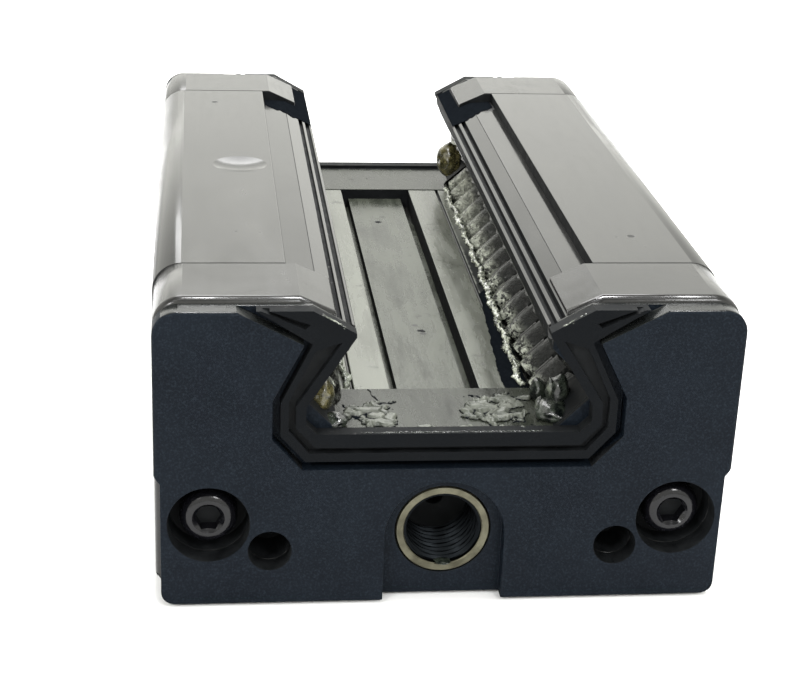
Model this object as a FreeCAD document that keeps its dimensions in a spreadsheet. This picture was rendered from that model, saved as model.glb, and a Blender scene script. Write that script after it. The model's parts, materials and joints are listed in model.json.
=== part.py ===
import FreeCAD, Part
import math
import os
import Sketcher

# Linear roller guide carriage, size 35, narrow type, resting on its mounting face.
# Frame: X across the carriage, Y along the travel, +Z up into the open rail channel.
# The origin is the centre of the mounting face.  Millimetres throughout.
# "Foot" is the mounting-face side and "leg" is each wall beside the rail channel.

os.makedirs("parts", exist_ok=True)
doc = FreeCAD.newDocument("RollerCarriage")
sheet = doc.addObject("Spreadsheet::Sheet", "Dims")
V = FreeCAD.Vector
Z_AXIS = V(0, 0, 1)

DIMENSIONS = [
    # saddle body
    ("body_len", 82.0), ("half_width", 35.0), ("body_top", 39.0), ("foot_chamfer", 2.6),
    ("leg_round", 3.5), ("leg_step_x", 18.9), ("shelf_z", 36.3), ("web_x", 19.6),
    ("bolt_x", 25.0), ("bolt_y", 25.0), ("bolt_r", 3.4), ("bolt_depth", 13.0),
    ("dimple_x", -23.5), ("dimple_sphere_r", 12.3), ("dimple_sphere_z", 50.7),
    # roller rows: centre of a loaded row, and the rolling circuit
    ("row_x", 15.45), ("row_mid_z", 27.0), ("row_dz", 4.45),
    ("roller_r", 2.0), ("roller_half_len", 2.5), ("pitch", 6.0),
    ("rolling_gap", 0.08), ("end_gap", 0.25), ("turn_gap", 0.25),
    ("spacer_r", 0.5), ("spacer_len", 3.0), ("spacer_shift", 0.6),
    ("turn_offset", 1.0), ("rim_r", 5.3), ("ridge_r", 5.9),
    ("tube_r", 4.0),
    # end cap and its openings
    ("cap_len", 11.7), ("cap_half_w", 34.8), ("cap_foot", 0.4), ("cap_floor_z", 22.3),
    ("rail_gap", 0.64), ("neck_x", 12.0), ("cap_slope_x", 17.8), ("cap_tip_x", 13.6),
    ("cap_tip_z", 37.1), ("cap_hook_z", 36.3), ("cap_neck_z", 33.9), ("cap_edge", 0.9),
    # cover plate
    ("plate_t", 2.8), ("plate_half_w", 34.8), ("plate_low_w", 34.1), ("plate_top", 38.3),
    ("plate_step_lo", 16.6), ("plate_step_hi", 17.6), ("plate_slope_x", 16.4),
    ("plate_tip_x", 12.4), ("plate_tip_z", 36.0), ("plate_round", 3.0), ("plate_foot_round", 1.6),
    ("plate_edge", 0.4),
    ("recess_half", 7.3), ("recess_depth", 1.8), ("pocket_depth", 2.2),
    # lubrication port, screws and plain holes
    ("port_z", 9.1), ("port_ring_r", 5.85), ("port_bore_r", 4.28), ("port_mouth_r", 4.8),
    ("port_len", 9.0), ("port_seat_r", 5.9), ("duct_r", 1.2),
    ("screw_x", 28.4), ("screw_z", 11.15), ("head_r", 3.5), ("head_h", 4.0), ("head_sink", 1.6),
    ("hex_flats", 3.0), ("hex_depth", 2.0), ("shank_r", 1.98), ("shank_len", 16.0),
    ("head_round", 1.45), ("socket_mouth_r", 1.95), ("socket_taper", 0.5),
    ("sink_r", 4.9), ("clear_r", 2.2), ("tapped_r", 2.05), ("tapped_depth", 10.0),
    ("pin_hole_x", 21.1), ("pin_hole_z", 7.5), ("pin_hole_r", 2.6), ("pin_hole_depth", 8.0),
    # rubber end seal: inner lip, outer rim, groove
    ("lip_z", 22.75), ("lip_corner_x", 15.7), ("lip_x", 17.0), ("lip_lo", 24.0), ("lip_hi", 26.2),
    ("tip_x", 11.35), ("tip_lo", 35.0), ("tip_hi", 35.5), ("seal_t", 1.9),
    ("rim_corner_x", 17.0), ("rim_z", 19.2), ("rim_x", 20.0), ("rim_lo", 22.6), ("rim_hi", 26.8),
    ("rim_neck_x", 16.4), ("rim_neck_z", 34.2), ("flap_x", 22.9), ("rim_gap", 0.95),
    # channel round the lip, wide beside the tips, and the slot in the flap above
    ("chan_in_corner", 15.85), ("chan_in_z", 21.0), ("chan_in_x", 18.2), ("chan_in_lo", 23.6),
    ("chan_in_hi", 26.4), ("chan_in_end", 13.0), ("chan_in_top", 34.4),
    ("chan_out_corner", 16.6), ("chan_out_z", 20.3), ("chan_out_x", 19.05), ("chan_out_lo", 23.3),
    ("chan_out_hi", 27.0), ("chan_out_end", 16.0), ("chan_out_top", 33.4), ("groove_depth", 1.1),
    ("slit_in_x", 16.7), ("slit_in_z", 36.6), ("slit_top_in", 21.4), ("slit_top_out", 22.3),
    ("slit_low_x", 17.3), ("slit_low_z", 36.05),
    # strips along the channel
    ("strip_step_z", 37.5), ("strip_seam_x", 15.35), ("strip_seam_z", 37.3), ("finger_x", 12.45),
    ("finger_in", 11.95), ("finger_z", 33.6), ("seal_low_x", 11.5), ("seal_low_z", 33.9),
    ("line_1_in", 11.75), ("line_1_out", 12.4), ("line_1_z", 35.25),
    ("line_2_in", 12.85), ("line_2_out", 13.45), ("line_2_z", 35.6),
    ("nose_x", 17.4), ("floor_x", 5.65), ("floor_z", 19.2), ("floor_top", 22.2),
    ("panel_x", 4.4), ("panel_z", 20.7), ("slot_x", 10.2), ("slot_w", 0.4), ("slot_depth", 0.5),
]

DIAG = "0.70710678"
DERIVED = [
    ("low_z", "row_mid_z - row_dz"),
    ("high_z", "row_mid_z + row_dz"),
    ("turn_r", "3 * pitch / pi"),
    ("turn_x", "row_x + turn_r"),
    ("return_x", "row_x + 2 * turn_r"),
    ("row_half", "7 * pitch"),
    # the two 45 degree race planes, x - z = race_low and x + z = race_high
    ("race_low", f"row_x - low_z + 2 * {DIAG} * (roller_r + rolling_gap)"),
    ("race_high", f"row_x + high_z + 2 * {DIAG} * (roller_r + rolling_gap)"),
    # planes past the roller ends: towards the floor, the web and the leg tip
    ("end_floor", f"row_x + low_z - 2 * {DIAG} * (roller_half_len + end_gap)"),
    ("end_web", f"row_x + low_z + 2 * {DIAG} * (roller_half_len + end_gap)"),
    ("end_tip", f"row_x - high_z - 2 * {DIAG} * (roller_half_len + end_gap)"),
    ("race_web_x", "(end_web + race_low) / 2"),
    ("race_web_z", "(end_web - race_low) / 2"),
    ("race_web_hi", "2 * row_mid_z - race_web_z"),
    ("web_lo", "race_web_z + (web_x - race_web_x)"),
    ("web_hi", "2 * row_mid_z - web_lo"),
    ("race_tip_x", "(race_high + end_tip) / 2"),
    ("race_tip_z", "(race_high - end_tip) / 2"),
    ("shelf_x", "shelf_z + end_tip"),
    ("floor_edge_x", "floor_z + race_low"),
    ("floor_end_x", "end_floor - floor_z"),
    # toroidal turn channel in (radius, height) about the turn axis
    ("chan_a", f"{DIAG} * (roller_half_len + turn_gap + roller_r + turn_gap)"),
    ("chan_b", f"{DIAG} * (roller_half_len - roller_r)"),
    ("chan_far_r", "turn_r + chan_a"), ("chan_far_z", "low_z - chan_b"),
    ("chan_foot_r", "turn_r + chan_b"), ("chan_foot_z", "low_z - chan_a"),
    ("chan_near_r", "turn_r - chan_a"), ("chan_near_z", "low_z + chan_b"),
    ("ridge_z", "chan_far_z + chan_far_r - ridge_r"),
    ("rim_edge_z", "chan_near_z - chan_near_r + rim_r"),
    ("chan_far_zt", "2 * row_mid_z - chan_far_z"), ("chan_foot_zt", "2 * row_mid_z - chan_foot_z"),
    ("chan_near_zt", "2 * row_mid_z - chan_near_z"), ("ridge_zt", "2 * row_mid_z - ridge_z"),
    ("rim_edge_zt", "2 * row_mid_z - rim_edge_z"),
    # rail clearance outline used by the caps and plates
    ("rail_low", f"row_x - low_z - 2 * {DIAG} * roller_r + rail_gap"),
    ("rail_high", f"row_x + high_z - 2 * {DIAG} * roller_r + rail_gap"),
    ("hex_floor_x", "cap_floor_z + rail_low"),
    ("hex_x", "(rail_low + rail_high) / 2"),
    ("hex_z", "(rail_high - rail_low) / 2"),
    ("hex_neck_z", "rail_high - neck_x"),
    # strips
    ("finger_tip_z", "finger_x - end_tip"),
    ("finger_in_z", "finger_tip_z + finger_x - finger_in + 0.1"),
    ("finger_top_z", "finger_z + strip_seam_x - finger_in - 0.4"),
    ("finger_top_x", "strip_seam_x - 0.4"),
    ("nose_lo", "end_web - nose_x"), ("nose_hi", "2 * row_mid_z - nose_lo"),
    ("floor_top_x", "end_floor - floor_top"),
    ("slot_out_x", "slot_x + slot_w"), ("slot_floor_z", "floor_top - slot_depth"),
    # outer rim of the pocket that holds the end seal
    ("pocket_corner_x", "rim_corner_x + 0.4 * rim_gap"), ("pocket_z", "rim_z - rim_gap"),
    ("pocket_x", "rim_x + rim_gap"), ("pocket_lo", "rim_lo - 0.4 * rim_gap"),
    ("pocket_hi", "rim_hi + 0.4 * rim_gap"), ("pocket_neck_x", "rim_neck_x + rim_gap"),
    ("pocket_flap_x", "flap_x + 2.4 * rim_gap"),
    # lengths measured outwards from the end face of the body
    ("cap_face", "cap_len"), ("plate_face", "cap_len + plate_t"),
    ("recess_face", "plate_face - recess_depth"), ("pocket_face", "plate_face - pocket_depth"),
    ("seal_face", "pocket_face + seal_t"), ("port_end", "recess_face - port_len"),
    ("head_face", "plate_face - head_sink"), ("head_seat", "head_face - head_h"),
    ("cap_sink_depth", "cap_len - head_seat"),
    ("port_seat_depth", "cap_len - port_end"),
    ("cap_pin_depth", "pin_hole_depth - plate_t"), ("half_body", "body_len / 2"),
    ("side_seal_len", "body_len + 2 * cap_len"), ("mouth_depth", "port_mouth_r - port_bore_r"),
    # foot chamfers, a height clear above everything, and the full length of a roller
    ("foot_x", "half_width - foot_chamfer"), ("cap_foot_x", "cap_half_w - foot_chamfer"),
    ("cap_foot_z", "cap_foot + foot_chamfer"), ("over_top", "body_top + 5"),
    ("roller_len", "2 * roller_half_len"),
]


def fill_sheet():
    """Write the driving sizes, then the sizes worked out from them."""
    for row, (name, size) in enumerate(DIMENSIONS, start=1):
        sheet.set(f"A{row}", name)
        sheet.set(f"B{row}", str(size))
        sheet.setAlias(f"B{row}", name)
    for row, (name, formula) in enumerate(DERIVED, start=1):
        sheet.set(f"D{row}", name)
        sheet.set(f"E{row}", "=" + formula)
        sheet.setAlias(f"E{row}", name)
    doc.recompute()


def size_of(name):
    """Value of a sheet name, which may lead with a minus sign."""
    sign = -1.0 if name.startswith("-") else 1.0
    return sign * float(sheet.get(name.lstrip("-")))


def formula(name):
    return ("-" if name.startswith("-") else "") + "Dims." + name.lstrip("-")


def bind(feature, prop, name):
    feature.setExpression(prop, formula(name))


def new_body(label):
    body = doc.addObject("PartDesign::Body", label)
    body.Label = label
    return body


def new_sketch(body, role="XZ_Plane", offset=None, shift=None):
    """Sketch on an origin plane; offset and shift name its distances along the normal and X."""
    plane = [f for f in body.Origin.OriginFeatures if f.Role == role][0]
    sketch = body.newObject("Sketcher::SketchObject", body.Name + "_sketch")
    sketch.AttachmentSupport = [(plane, "")]
    sketch.MapMode = "FlatFace"
    if offset:
        bind(sketch, "AttachmentOffset.Base.z", offset)
    if shift:
        bind(sketch, "AttachmentOffset.Base.x", shift)
    return sketch


def pin(sketch, geometry, point, name, kind):
    """Fix one coordinate of a sketch point to a sheet name, or to an axis when it is zero."""
    if name == "0":
        axis = -2 if kind == "DistanceX" else -1
        sketch.addConstraint(Sketcher.Constraint("PointOnObject", geometry, point, axis))
        return
    rule = Sketcher.Constraint(kind, -1, 1, geometry, point, size_of(name))
    index = sketch.addConstraint(rule)
    sketch.setExpression(f"Constraints[{index}]", formula(name))


def flat(point):
    return V(*[0.0 if name == "0" else size_of(name) for name in point], 0)


def outline(sketch, points):
    """Closed polygon through points given as pairs of sheet names."""
    first = sketch.GeometryCount
    count = len(points)
    for i, point in enumerate(points):
        sketch.addGeometry(Part.LineSegment(flat(point), flat(points[(i + 1) % count])))
    joins = [Sketcher.Constraint("Coincident", first + i, 2, first + (i + 1) % count, 1)
             for i in range(count)]
    sketch.addConstraint(joins)
    for i, (across, up) in enumerate(points):
        pin(sketch, first + i, 1, across, "DistanceX")
        pin(sketch, first + i, 1, up, "DistanceY")


def circle(sketch, centre, radius):
    geometry = sketch.addGeometry(Part.Circle(flat(centre), Z_AXIS, size_of(radius)))
    pin(sketch, geometry, 3, centre[0], "DistanceX")
    pin(sketch, geometry, 3, centre[1], "DistanceY")
    index = sketch.addConstraint(Sketcher.Constraint("Radius", geometry, size_of(radius)))
    sketch.setExpression(f"Constraints[{index}]", formula(radius))


def minus(name):
    if name == "0":
        return name
    return name[1:] if name.startswith("-") else "-" + name


def mirrored(points):
    """Right-hand points followed by their mirror image, so the outline closes across X = 0."""
    return points + [(minus(across), up) for across, up in reversed(points)]


def pad(body, sketch, length, symmetric=False, inward=False):
    feature = body.newObject("PartDesign::Pad", body.Name + "_pad")
    feature.Profile = sketch
    bind(feature, "Length", length)
    if symmetric:
        feature.SideType = "Symmetric"
    feature.Reversed = inward
    sketch.Visibility = False
    doc.recompute()
    return feature


def pocket(body, sketch, length=None, outward=False, symmetric=False):
    """Cut a sketch into the body, and check that the cut takes material away."""
    before = body.Shape.Volume
    feature = body.newObject("PartDesign::Pocket", body.Name + "_pocket")
    feature.Profile = sketch
    if length:
        bind(feature, "Length", length)
    else:
        feature.Type = "ThroughAll"
    if symmetric:
        feature.SideType = "Symmetric"
    feature.Reversed = outward
    doc.recompute()
    if not body.Shape.Volume < before - 1e-3:
        raise RuntimeError("pocket misses the material of " + body.Label)
    return feature


def revolve(body, sketch, kind):
    """Full turn of a sketch about its own vertical axis: Revolution adds and Groove removes."""
    feature = body.newObject("PartDesign::" + kind, body.Name + "_turn")
    feature.Profile = sketch
    feature.ReferenceAxis = (sketch, ["V_Axis"])
    feature.Angle = 360
    doc.recompute()
    return feature


def long_edges(body, spots):
    """Names of straight edges along Y that pass through one of the (x, z) spots."""
    names = []
    for index, edge in enumerate(body.Shape.Edges, start=1):
        box = edge.BoundBox
        along = box.YLength > 1.0 and box.XLength < 1e-4 and box.ZLength < 1e-4
        if along and any(abs(box.XMin - x) < 0.02 and abs(box.ZMin - z) < 0.02 for x, z in spots):
            names.append(f"Edge{index}")
    return names


def dress(body, kind, edges, prop, name):
    """Fillet or Chamfer the named edges of the body as it stands."""
    base = body.Tip
    feature = body.newObject("PartDesign::" + kind, body.Name + "_" + kind.lower())
    feature.Base = (base, edges)
    bind(feature, prop, name)
    doc.recompute()
    body.Tip = feature


def round_edges(body, spots, radius):
    dress(body, "Fillet", long_edges(body, spots), "Radius", radius)


def both_sides(x_name, z_name):
    x, z = size_of(x_name), size_of(z_name)
    return [(x, z), (-x, z)]


def face_outwards(thing, end):
    """Put a front-end part at the front (-Y) or turn it round to the back end."""
    turn = 0 if end == "front" else 180
    thing.Placement = FreeCAD.Placement(V(0, 0, 0), FreeCAD.Rotation(Z_AXIS, turn))
    bind(thing, "Placement.Base.y", "-half_body" if end == "front" else "half_body")


# Outlines in (across, up), right-hand half, ordered from the foot round to the channel

RAIL_CHANNEL = [("neck_x", "hex_neck_z"), ("hex_x", "hex_z"), ("hex_floor_x", "cap_floor_z")]
LIP = [("tip_x", "tip_lo"), ("lip_x", "lip_hi"), ("lip_x", "lip_lo"), ("lip_corner_x", "lip_z")]
SIDE_SEAL = [
    ("strip_seam_x", "strip_seam_z"), ("strip_seam_x", "finger_top_z"),
    ("finger_top_x", "finger_top_z"), ("finger_in", "finger_z"),
    ("seal_low_x", "seal_low_z"), ("tip_x", "tip_lo"), ("tip_x", "tip_hi"),
]
FLAP_SLIT = [
    ("slit_in_x", "slit_in_z"), ("slit_top_in", "plate_top"), ("slit_top_out", "plate_top"),
    ("slit_low_x", "slit_low_z"),
]
TURN_SPACE = [
    ("chan_foot_r", "chan_foot_z"), ("chan_far_r", "chan_far_z"), ("ridge_r", "ridge_z"),
    ("ridge_r", "ridge_zt"), ("chan_far_r", "chan_far_zt"), ("chan_foot_r", "chan_foot_zt"),
]
SPOOL = [
    ("chan_foot_r", "chan_foot_z"), ("chan_near_r", "chan_near_z"), ("rim_r", "rim_edge_z"),
    ("rim_r", "rim_edge_zt"), ("chan_near_r", "chan_near_zt"), ("chan_foot_r", "chan_foot_zt"),
]


def to_axis(points):
    """Close a half profile onto the turn axis."""
    return [("0", points[0][1])] + points + [("0", points[-1][1])]


def signed(points, side):
    return [(across if side > 0 else minus(across), up) for across, up in points]


def build_body():
    body = new_body("carriage_body")
    section = new_sketch(body)
    outline(section, mirrored([
        ("foot_x", "0"), ("half_width", "foot_chamfer"), ("half_width", "body_top"),
        ("leg_step_x", "body_top"), ("leg_step_x", "shelf_z"), ("shelf_x", "shelf_z"),
        ("race_tip_x", "race_tip_z"), ("race_web_x", "race_web_hi"), ("web_x", "web_hi"),
        ("web_x", "web_lo"), ("race_web_x", "race_web_z"), ("floor_edge_x", "floor_z"),
        ("panel_x", "floor_z"), ("panel_x", "panel_z")]))
    pad(body, section, "body_len", symmetric=True)
    round_edges(body, both_sides("half_width", "body_top"), "leg_round")

    tunnels = new_sketch(body)
    for side in (1, -1):
        for height in ("low_z", "high_z"):
            circle(tunnels, signed([("return_x", height)], side)[0], "tube_r")
    pocket(body, tunnels, symmetric=True)

    bolts = new_sketch(body, "XY_Plane")
    for across in ("bolt_x", "-bolt_x"):
        for along in ("bolt_y", "-bolt_y"):
            circle(bolts, (across, along), "bolt_r")
    pocket(body, bolts, "bolt_depth", outward=True)

    for end, outward in (("half_body", False), ("-half_body", True)):
        tapped = new_sketch(body, offset=end)
        for across in ("screw_x", "-screw_x"):
            circle(tapped, (across, "screw_z"), "tapped_r")
        pocket(body, tapped, "tapped_depth", outward=outward)

    dimple = body.newObject("PartDesign::SubtractiveSphere", "inspection_dimple")
    bind(dimple, "Radius", "dimple_sphere_r")
    bind(dimple, "Placement.Base.x", "dimple_x")
    bind(dimple, "Placement.Base.z", "dimple_sphere_z")
    doc.recompute()
    return body


def build_cap(end):
    body = new_body("end_cap_" + end)
    section = new_sketch(body)
    outline(section, mirrored([
        ("cap_foot_x", "cap_foot"), ("cap_half_w", "cap_foot_z"), ("cap_half_w", "body_top"),
        ("cap_slope_x", "body_top"), ("cap_tip_x", "cap_tip_z"), ("cap_tip_x", "cap_hook_z"),
        ("neck_x", "cap_neck_z")] + RAIL_CHANNEL))
    pad(body, section, "cap_len")
    round_edges(body, both_sides("cap_half_w", "body_top"), "leg_round")
    soften_face(body, "cap_face", "cap_edge", "body_top")

    notch = new_sketch(body)
    for side in (1, -1):
        outline(notch, signed(SIDE_SEAL, side))
    pocket(body, notch, outward=True)

    for shift in ("turn_x", "-turn_x"):
        space = new_sketch(body, offset="turn_offset", shift=shift)
        outline(space, to_axis(TURN_SPACE))
        revolve(body, space, "Groove")
        mouth = new_sketch(body, shift=shift)
        outline(mouth, TURN_SPACE + [(minus(a), u) for a, u in reversed(TURN_SPACE)])
        pocket(body, mouth, "turn_offset", outward=True)

    port = new_sketch(body, offset="cap_face")
    circle(port, ("0", "port_z"), "port_seat_r")
    pocket(body, port, "port_seat_depth")
    duct = new_sketch(body)
    circle(duct, ("0", "port_z"), "duct_r")
    pocket(body, duct, outward=True)

    for radius, depth, across, up in (
            ("sink_r", "cap_sink_depth", "screw_x", "screw_z"),
            ("clear_r", None, "screw_x", "screw_z"),
            ("pin_hole_r", "cap_pin_depth", "pin_hole_x", "pin_hole_z")):
        holes = new_sketch(body, offset="cap_face")
        for name in (across, minus(across)):
            circle(holes, (name, up), radius)
        pocket(body, holes, depth)
    face_outwards(body, end)
    return body


def soften_face(body, face, radius, top):
    """Round over the upper edges of the outer end face, those that reach up to the top."""
    level, height = -size_of(face), size_of(top)
    names = []
    for index, edge in enumerate(body.Shape.Edges, start=1):
        box = edge.BoundBox
        on_face = abs(box.YMin - level) < 1e-4 and abs(box.YMax - level) < 1e-4
        if on_face and box.ZMax > height - 0.1:
            names.append(f"Edge{index}")
    dress(body, "Fillet", names, "Radius", radius)


def build_plate(end):
    body = new_body("cover_plate_" + end)
    section = new_sketch(body, offset="cap_face")
    outline(section, mirrored([
        ("plate_low_w", "cap_foot"), ("plate_low_w", "plate_step_lo"),
        ("plate_half_w", "plate_step_hi"), ("plate_half_w", "plate_top"),
        ("plate_slope_x", "plate_top"), ("plate_tip_x", "plate_tip_z")] + RAIL_CHANNEL))
    pad(body, section, "plate_t")
    round_edges(body, both_sides("plate_half_w", "plate_top"), "plate_round")
    round_edges(body, both_sides("plate_low_w", "cap_foot"), "plate_foot_round")
    soften_face(body, "plate_face", "plate_edge", "plate_top")

    seat = new_sketch(body, offset="plate_face")
    outline(seat, mirrored([
        ("pocket_corner_x", "pocket_z"), ("pocket_x", "pocket_lo"), ("pocket_x", "pocket_hi"),
        ("pocket_neck_x", "rim_neck_z"), ("pocket_flap_x", "plate_top"),
        ("pocket_flap_x", "over_top")]))
    pocket(body, seat, "pocket_depth")

    # arched recess round the lubrication port, open at the foot
    recess = new_sketch(body, offset="plate_face")
    arched_slot(recess)
    pocket(body, recess, "recess_depth")

    for radius, places in (("port_seat_r", [("0", "port_z")]),
                           ("sink_r", [("screw_x", "screw_z"), ("-screw_x", "screw_z")]),
                           ("pin_hole_r", [("pin_hole_x", "pin_hole_z"),
                                           ("-pin_hole_x", "pin_hole_z")])):
        holes = new_sketch(body, offset="plate_face")
        for place in places:
            circle(holes, place, radius)
        pocket(body, holes)
    face_outwards(body, end)
    return body


def arched_slot(sketch):
    """Slot as wide as recess_half each side, straight from below the foot, round at the top."""
    half, centre, base = size_of("recess_half"), size_of("port_z"), -size_of("cap_edge")
    left, right = V(-half, centre, 0), V(half, centre, 0)
    sketch.addGeometry(Part.LineSegment(V(-half, base, 0), V(half, base, 0)))
    sketch.addGeometry(Part.LineSegment(V(half, base, 0), right))
    arc = Part.Arc(right, V(0, centre + half, 0), left)
    sketch.addGeometry(arc)
    sketch.addGeometry(Part.LineSegment(left, V(-half, base, 0)))
    joins = [(0, 2, 1, 1), (1, 2, 2, 1), (2, 2, 3, 1), (3, 2, 0, 1)]
    sketch.addConstraint([Sketcher.Constraint("Coincident", *join) for join in joins])
    sketch.addConstraint([Sketcher.Constraint("Vertical", 1), Sketcher.Constraint("Vertical", 3),
                          Sketcher.Constraint("Horizontal", 0)])
    pin(sketch, 2, 3, "0", "DistanceX")
    pin(sketch, 2, 3, "port_z", "DistanceY")
    pin(sketch, 1, 2, "recess_half", "DistanceX")
    pin(sketch, 1, 2, "port_z", "DistanceY")
    pin(sketch, 0, 1, "-cap_edge", "DistanceY")


def build_end_seal(end):
    body = new_body("end_seal_" + end)
    section = new_sketch(body, offset="pocket_face")
    outline(section, mirrored([
        ("rim_corner_x", "rim_z"), ("rim_x", "rim_lo"), ("rim_x", "rim_hi"),
        ("rim_neck_x", "rim_neck_z"), ("flap_x", "plate_top"), ("plate_slope_x", "plate_top"),
        ("tip_x", "tip_hi")] + LIP))
    pad(body, section, "seal_t")
    groove = new_sketch(body, offset="seal_face")
    inner = [("chan_in_corner", "chan_in_z"), ("chan_in_x", "chan_in_lo"),
             ("chan_in_x", "chan_in_hi"), ("chan_in_end", "chan_in_top")]
    outer = [("chan_out_corner", "chan_out_z"), ("chan_out_x", "chan_out_lo"),
             ("chan_out_x", "chan_out_hi"), ("chan_out_end", "chan_out_top")]
    left = [(minus(across), up) for across, up in reversed(outer)]
    left_in = [(minus(across), up) for across, up in inner]
    outline(groove, outer[::-1] + left[::-1] + left_in[::-1] + inner)
    for side in (1, -1):
        outline(groove, signed(FLAP_SLIT, side))
    pocket(body, groove, "groove_depth")
    face_outwards(body, end)
    return body


def build_port_insert(end):
    body = new_body("lube_insert_" + end)
    ring = new_sketch(body, offset="recess_face")
    circle(ring, ("0", "port_z"), "port_ring_r")
    pad(body, ring, "port_len", inward=True)
    bore = new_sketch(body, offset="recess_face")
    circle(bore, ("0", "port_z"), "port_bore_r")
    pocket(body, bore)
    level = -size_of("recess_face")
    rim = [f"Edge{i}" for i, edge in enumerate(body.Shape.Edges, start=1)
           if abs(edge.BoundBox.YMax - level) < 1e-4
           and abs(edge.BoundBox.XMax - size_of("port_bore_r")) < 1e-3]
    dress(body, "Chamfer", rim, "Size", "mouth_depth")
    face_outwards(body, end)
    return body


def cylinder(radius, height, centre, axis):
    """Part cylinder centred on a point, with its radius and height tied to the sheet."""
    solid = doc.addObject("Part::Cylinder", "Cylinder")
    bind(solid, "Radius", radius)
    bind(solid, "Height", height)
    turn = FreeCAD.Rotation(Z_AXIS, axis)
    solid.Placement = FreeCAD.Placement(centre - turn.multVec(Z_AXIS) * (size_of(height) / 2), turn)
    return solid


def one_screw(side):
    """Socket-head cap screw along +Y, its head face towards -Y."""
    x, z = side * size_of("screw_x"), size_of("screw_z")
    face, seat = -size_of("head_face"), -size_of("head_seat")
    inwards = V(0, 1, 0)
    head = cylinder("head_r", "head_h", V(x, (face + seat) / 2, z), inwards)
    shank = cylinder("shank_r", "shank_len", V(x, seat + size_of("shank_len") / 2, z), inwards)
    blank = doc.addObject("Part::MultiFuse", "ScrewBlank")
    blank.Shapes = [head, shank]
    doc.recompute()
    rim = [i for i, edge in enumerate(blank.Shape.Edges, start=1)
           if abs(edge.BoundBox.YMax - face) < 1e-4]
    crowned = doc.addObject("Part::Fillet", "CrownedBlank")
    crowned.Base = blank
    crowned.Edges = [(i, size_of("head_round"), size_of("head_round")) for i in rim]
    at_face = FreeCAD.Placement(V(x, face, z), FreeCAD.Rotation(Z_AXIS, inwards))
    socket = doc.addObject("Part::Prism", "Socket")
    socket.Polygon = 6
    socket.Circumradius = size_of("hex_flats") / math.sqrt(3)
    bind(socket, "Height", "hex_depth")
    socket.Placement = at_face
    taper = doc.addObject("Part::Cone", "SocketTaper")
    bind(taper, "Radius1", "socket_mouth_r")
    taper.Radius2 = size_of("socket_mouth_r") - size_of("socket_taper")
    bind(taper, "Height", "socket_taper")
    taper.Placement = at_face
    opening = doc.addObject("Part::MultiFuse", "SocketOpening")
    opening.Shapes = [socket, taper]
    screw = doc.addObject("Part::Cut", "Screw")
    screw.Base, screw.Tool = crowned, opening
    return screw


def group(label, members):
    compound = doc.addObject("Part::Compound", label)
    compound.Links = members
    compound.Label = label
    doc.recompute()
    return compound


def build_screws(end):
    screws = group("end_screws_" + end, [one_screw(1), one_screw(-1)])
    face_outwards(screws, end)
    return screws


def build_strip(label, points, length, side):
    body = new_body(label)
    section = new_sketch(body)
    outline(section, signed(points, side))
    pad(body, section, length, symmetric=True)
    return body


def build_side_parts(side, name):
    web = build_strip("roller_retainer_" + name, [
        ("nose_x", "nose_lo"), ("race_web_x", "race_web_z"), ("web_x", "web_lo"),
        ("web_x", "web_hi"), ("race_web_x", "race_web_hi"), ("nose_x", "nose_hi")],
        "body_len", side)
    strip = build_strip("leg_strip_" + name, [
        ("race_tip_x", "race_tip_z"), ("shelf_x", "shelf_z"), ("leg_step_x", "shelf_z"),
        ("leg_step_x", "strip_step_z"), ("strip_seam_x", "strip_seam_z"),
        ("strip_seam_x", "finger_top_z"), ("finger_top_x", "finger_top_z"),
        ("finger_in", "finger_z"), ("finger_in", "finger_in_z"), ("finger_x", "finger_tip_z")],
        "body_len", side)
    seal = build_strip("side_seal_" + name, SIDE_SEAL, "side_seal_len", side)
    lines = new_sketch(seal)
    for number in ("1", "2"):
        near, far, bottom = (f"line_{number}_{word}" for word in ("in", "out", "z"))
        outline(lines, signed([(near, bottom), (far, bottom), (far, "strip_seam_z"),
                               (near, "strip_seam_z")], side))
    pocket(seal, lines, symmetric=True)
    floor = build_strip("floor_strip_" + name, [
        ("floor_x", "floor_z"), ("floor_end_x", "floor_z"), ("floor_top_x", "floor_top"),
        ("slot_out_x", "floor_top"), ("slot_out_x", "slot_floor_z"), ("slot_x", "slot_floor_z"),
        ("slot_x", "floor_top"), ("floor_x", "floor_top")], "body_len", side)
    return [web, strip, seal, floor]


def build_tube(side, name, level, height):
    """Plastic liner of a return tunnel: round outside, roller-shaped passage inside."""
    body = new_body(f"return_tube_{name}_{level}")
    section = new_sketch(body)
    circle(section, signed([("return_x", height)], side)[0], "tube_r")
    pad(body, section, "body_len", symmetric=True)
    # The passage is seen mirrored from the loaded row because the turn carries it round.
    lean = side if level == "low" else -side
    wide = size_of("roller_half_len") + size_of("turn_gap")
    thick = size_of("roller_r") + size_of("turn_gap")
    along = V(-lean, 1, 0).normalize() * wide
    across = V(1, lean, 0).normalize() * thick
    centre = V(side * size_of("return_x"), size_of(height), 0)
    corners = [centre + along + across, centre + along - across,
               centre - along - across, centre - along + across]
    passage = new_sketch(body)
    for i in range(4):
        passage.addGeometry(Part.LineSegment(corners[i], corners[(i + 1) % 4]))
    passage.addConstraint([Sketcher.Constraint("Coincident", i, 2, (i + 1) % 4, 1)
                           for i in range(4)])
    passage.addConstraint([Sketcher.Constraint("Block", i) for i in range(4)])
    pocket(body, passage, symmetric=True)
    return body


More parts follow.
